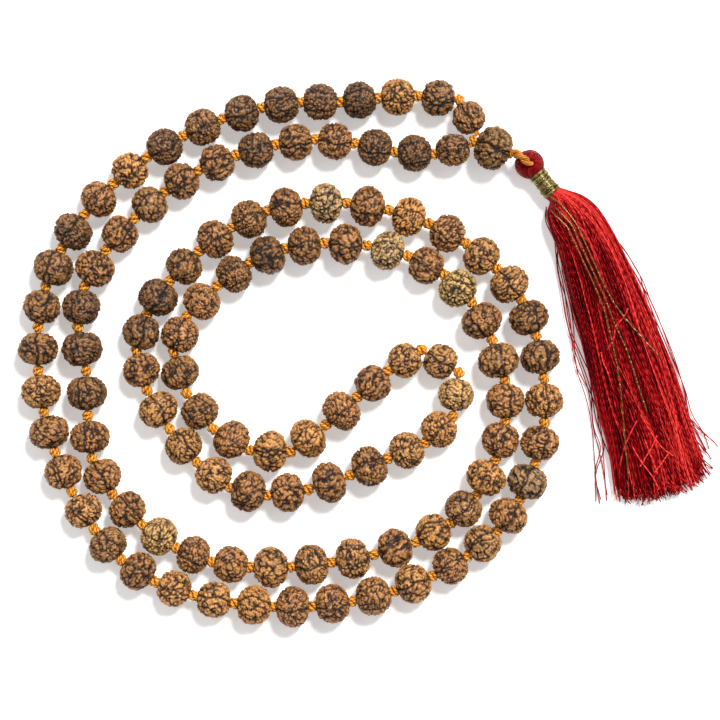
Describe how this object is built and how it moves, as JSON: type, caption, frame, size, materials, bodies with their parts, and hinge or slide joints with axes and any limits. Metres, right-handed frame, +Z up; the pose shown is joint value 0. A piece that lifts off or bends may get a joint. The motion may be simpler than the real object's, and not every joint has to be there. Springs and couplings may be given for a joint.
{
  "type": "mala prayer beads",
  "caption": "Closed string of knotted seed beads with a larger guru bead and a silk tassel, laid on a surface as a double spiral.",
  "frame": {"origin": "on the surface that the beads lie on, under the middle of the whole object", "axes": "+Z up from that surface; +X along the longest side, towards the tassel; +Y towards the strand that ends at the guru bead"},
  "size_m": [0.1657, 0.1311, 0.0104],
  "materials": {
    "rudraksha_seed": "matt",
    "guru_seed": "matt",
    "orange_thread": "matt",
    "red_silk": "satin",
    "gold_thread": "satin"
  },
  "bodies": {
    "coil": {"beads_012_to_017": "rudraksha_seed", "beads_018_to_023": "rudraksha_seed", "beads_024_to_029": "rudraksha_seed", "beads_030_to_035": "rudraksha_seed", "beads_036_to_041": "rudraksha_seed", "beads_042_to_047": "rudraksha_seed", "beads_048_to_053": "rudraksha_seed", "beads_066_to_071": "rudraksha_seed", "beads_072_to_077": "rudraksha_seed", "beads_078_to_083": "rudraksha_seed", "beads_084_to_088": "rudraksha_seed", "beads_089_to_093": "rudraksha_seed", "beads_094_to_098": "rudraksha_seed"},
    "lead_4": {"lead_4_outer_thread": "orange_thread", "lead_4_inner_thread": "orange_thread"},
    "lead_3": {"lead_3_outer_thread": "orange_thread", "lead_3_inner_thread": "orange_thread"},
    "lead_2": {"lead_2_outer_thread": "orange_thread", "lead_2_inner_thread": "orange_thread"},
    "lead_1": {"lead_1_outer_thread": "orange_thread", "lead_1_inner_thread": "orange_thread"},
    "inner_fold": {"beads_054_to_056": "rudraksha_seed", "beads_063_to_065": "rudraksha_seed"},
    "inner_turn": {"inner_turn_thread": "orange_thread"},
    "guru_cord": {"guru_cord": "orange_thread"},
    "guru_bead": {"guru_bead": "guru_seed"},
    "tassel_loop": {"tassel_loop": "orange_thread"},
    "tassel_head": {"tassel_ball": "red_silk", "gold_wrap": "gold_thread"},
    "tassel_skirt": {"tassel_skirt": "red_silk", "gold_tail_1": "gold_thread", "gold_tail_2": "gold_thread", "gold_tail_3": "gold_thread"},
    "bead_001": {"bead_001": "rudraksha_seed"},
    "bead_002": {"bead_002": "rudraksha_seed"},
    "bead_003": {"bead_003": "rudraksha_seed"},
    "bead_004": {"bead_004": "rudraksha_seed"},
    "bead_005": {"bead_005": "rudraksha_seed"},
    "bead_006": {"bead_006": "rudraksha_seed"},
    "bead_007": {"bead_007": "rudraksha_seed"},
    "bead_008": {"bead_008": "rudraksha_seed"},
    "bead_009": {"bead_009": "rudraksha_seed"},
    "bead_010": {"bead_010": "rudraksha_seed"},
    "bead_011": {"bead_011": "rudraksha_seed"},
    "bead_057": {"bead_057": "rudraksha_seed"},
    "bead_058": {"bead_058": "rudraksha_seed"},
    "bead_059": {"bead_059": "rudraksha_seed"},
    "bead_060": {"bead_060": "rudraksha_seed"},
    "bead_061": {"bead_061": "rudraksha_seed"},
    "bead_062": {"bead_062": "rudraksha_seed"},
    "bead_099": {"bead_099": "rudraksha_seed"},
    "bead_100": {"bead_100": "rudraksha_seed"},
    "bead_101": {"bead_101": "rudraksha_seed"},
    "bead_102": {"bead_102": "rudraksha_seed"},
    "bead_103": {"bead_103": "rudraksha_seed"},
    "bead_104": {"bead_104": "rudraksha_seed"},
    "bead_105": {"bead_105": "rudraksha_seed"},
    "bead_106": {"bead_106": "rudraksha_seed"},
    "bead_107": {"bead_107": "rudraksha_seed"},
    "bead_108": {"bead_108": "rudraksha_seed"}
  },
  "joints": [
    {"name": "thread_fold_4", "type": "hinge", "parent": "coil", "child": "lead_4", "pos_m": [-0.06487, 0.02873, 0.00435], "axis": [0.5095, -0.8605, 0], "range_deg": [0, 30]},
    {"name": "thread_fold_3", "type": "hinge", "parent": "lead_4", "child": "lead_3", "pos_m": [-0.05025, 0.04258, 0.00435], "axis": [0.4826, -0.8758, 0], "range_deg": [0, 30]},
    {"name": "thread_fold_2", "type": "hinge", "parent": "lead_3", "child": "lead_2", "pos_m": [-0.02321, 0.05419, 0.00435], "axis": [0.3542, -0.9352, 0], "range_deg": [0, 30]},
    {"name": "thread_fold_1", "type": "hinge", "parent": "lead_2", "child": "lead_1", "pos_m": [0.00514, 0.05447, 0.00435], "axis": [0.293, -0.9561, 0], "range_deg": [0, 30]},
    {"name": "thread_inner_1", "type": "hinge", "parent": "coil", "child": "inner_fold", "pos_m": [-0.02566, -0.02902, 0.00435], "axis": [0.3511, -0.9363, 0], "range_deg": [0, 30]},
    {"name": "thread_inner_2", "type": "hinge", "parent": "inner_fold", "child": "inner_turn", "pos_m": [0.00179, -0.01812, 0.00435], "axis": [0.4492, -0.8934, 0], "range_deg": [0, 30]},
    {"name": "guru_lift", "type": "hinge", "parent": "lead_1", "child": "guru_cord", "pos_m": [0.0259, 0.0506, 0.0052], "axis": [-0.337, -0.9415, 0], "range_deg": [0, 30]},
    {"name": "tassel_swing", "type": "hinge", "parent": "guru_cord", "child": "tassel_loop", "pos_m": [0.0354, 0.0472, 0.0052], "axis": [0, 0, 1], "range_deg": [-6, 30]},
    {"name": "tassel_lift", "type": "hinge", "parent": "tassel_loop", "child": "tassel_head", "pos_m": [0.0394, 0.0451, 0.0084], "axis": [-0.7771, -0.6293, 0], "range_deg": [0, 40]},
    {"name": "tassel_bend", "type": "hinge", "parent": "tassel_head", "child": "tassel_skirt", "pos_m": [0.04525, 0.03787, 0.0037], "axis": [-0.7771, -0.6293, 0], "range_deg": [0, 20]},
    {"name": "turn_guru", "type": "hinge", "parent": "guru_cord", "child": "guru_bead", "pos_m": [0.03065, 0.0489, 0.0052], "axis": [0.9415, -0.337, 0], "continuous": true},
    {"name": "turn_bead_001", "type": "hinge", "parent": "lead_1", "child": "bead_001", "pos_m": [0.02475, 0.05625, 0.00478], "axis": [-0.4661, 0.8804, -0.088], "continuous": true},
    {"name": "turn_bead_002", "type": "hinge", "parent": "lead_1", "child": "bead_002", "pos_m": [0.0175, 0.061, 0.00435], "axis": [-0.995, 0.0995, 0], "continuous": true},
    {"name": "turn_bead_003", "type": "hinge", "parent": "lead_1", "child": "bead_003", "pos_m": [0.00783, 0.06121, 0.00435], "axis": [-0.9981, -0.0624, 0], "continuous": true},
    {"name": "turn_bead_004", "type": "hinge", "parent": "lead_2", "child": "bead_004", "pos_m": [-0.00142, 0.06046, 0.00435], "axis": [-0.995, -0.0995, 0], "continuous": true},
    {"name": "turn_bead_005", "type": "hinge", "parent": "lead_2", "child": "bead_005", "pos_m": [-0.01075, 0.06, 0.00435], "axis": [-1, 0, 0], "continuous": true},
    {"name": "turn_bead_006", "type": "hinge", "parent": "lead_2", "child": "bead_006", "pos_m": [-0.0202, 0.05933, 0.00435], "axis": [-0.9901, -0.1404, 0], "continuous": true},
    {"name": "turn_bead_007", "type": "hinge", "parent": "lead_3", "child": "bead_007", "pos_m": [-0.02965, 0.0573, 0.00435], "axis": [-0.961, -0.2765, 0], "continuous": true},
    {"name": "turn_bead_008", "type": "hinge", "parent": "lead_3", "child": "bead_008", "pos_m": [-0.03905, 0.05392, 0.00435], "axis": [-0.9174, -0.3979, 0], "continuous": true},
    {"name": "turn_bead_009", "type": "hinge", "parent": "lead_3", "child": "bead_009", "pos_m": [-0.0481, 0.04928, 0.00435], "axis": [-0.8595, -0.5111, 0], "continuous": true},
    {"name": "turn_bead_010", "type": "hinge", "parent": "lead_4", "child": "bead_010", "pos_m": [-0.0565, 0.0435, 0.00435], "axis": [-0.784, -0.6207, 0], "continuous": true},
    {"name": "turn_bead_011", "type": "hinge", "parent": "lead_4", "child": "bead_011", "pos_m": [-0.06395, 0.03667, 0.00435], "axis": [-0.6853, -0.7283, 0], "continuous": true},
    {"name": "turn_bead_057", "type": "hinge", "parent": "inner_turn", "child": "bead_057", "pos_m": [0.00997, -0.02359, 0.00435], "axis": [0.9198, 0.3924, 0], "continuous": true},
    {"name": "turn_bead_058", "type": "hinge", "parent": "inner_turn", "child": "bead_058", "pos_m": [0.01772, -0.01859, 0.00435], "axis": [0.7276, 0.686, 0], "continuous": true},
    {"name": "turn_bead_059", "type": "hinge", "parent": "inner_turn", "child": "bead_059", "pos_m": [0.02175, -0.01025, 0.00435], "axis": [0.1414, 0.9899, 0], "continuous": true},
    {"name": "turn_bead_060", "type": "hinge", "parent": "inner_turn", "child": "bead_060", "pos_m": [0.018, -0.00225, 0.00435], "axis": [-0.8533, 0.5215, 0], "continuous": true},
    {"name": "turn_bead_061", "type": "hinge", "parent": "inner_turn", "child": "bead_061", "pos_m": [0.0095, -0.002, 0.00435], "axis": [-0.848, -0.53, 0], "continuous": true},
    {"name": "turn_bead_062", "type": "hinge", "parent": "inner_turn", "child": "bead_062", "pos_m": [0.00179, -0.00762, 0.00435], "axis": [-0.7647, -0.6444, 0], "continuous": true},
    {"name": "turn_bead_099", "type": "hinge", "parent": "lead_4", "child": "bead_099", "pos_m": [-0.05886, 0.02829, 0.00435], "axis": [0.6704, 0.742, 0], "continuous": true},
    {"name": "turn_bead_100", "type": "hinge", "parent": "lead_4", "child": "bead_100", "pos_m": [-0.0517, 0.03532, 0.00435], "axis": [0.7579, 0.6523, 0], "continuous": true},
    {"name": "turn_bead_101", "type": "hinge", "parent": "lead_3", "child": "bead_101", "pos_m": [-0.04405, 0.041, 0.00435], "axis": [0.8452, 0.5345, 0], "continuous": true},
    {"name": "turn_bead_102", "type": "hinge", "parent": "lead_3", "child": "bead_102", "pos_m": [-0.03559, 0.04536, 0.00435], "axis": [0.924, 0.3823, 0], "continuous": true},
    {"name": "turn_bead_103", "type": "hinge", "parent": "lead_3", "child": "bead_103", "pos_m": [-0.0263, 0.04847, 0.00435], "axis": [0.9676, 0.2525, 0], "continuous": true},
    {"name": "turn_bead_104", "type": "hinge", "parent": "lead_2", "child": "bead_104", "pos_m": [-0.01676, 0.05036, 0.00435], "axis": [0.9911, 0.133, 0], "continuous": true},
    {"name": "turn_bead_105", "type": "hinge", "parent": "lead_2", "child": "bead_105", "pos_m": [-0.00726, 0.05056, 0.00435], "axis": [0.9958, -0.092, 0], "continuous": true},
    {"name": "turn_bead_106", "type": "hinge", "parent": "lead_2", "child": "bead_106", "pos_m": [0.0023, 0.04907, 0.00435], "axis": [0.977, -0.2133, 0], "continuous": true},
    {"name": "turn_bead_107", "type": "hinge", "parent": "lead_1", "child": "bead_107", "pos_m": [0.01181, 0.04776, 0.00435], "axis": [0.9985, -0.0553, 0], "continuous": true},
    {"name": "turn_bead_108", "type": "hinge", "parent": "lead_1", "child": "bead_108", "pos_m": [0.021, 0.0485, 0.00478], "axis": [0.9721, 0.216, 0.0918], "continuous": true}
  ]
}
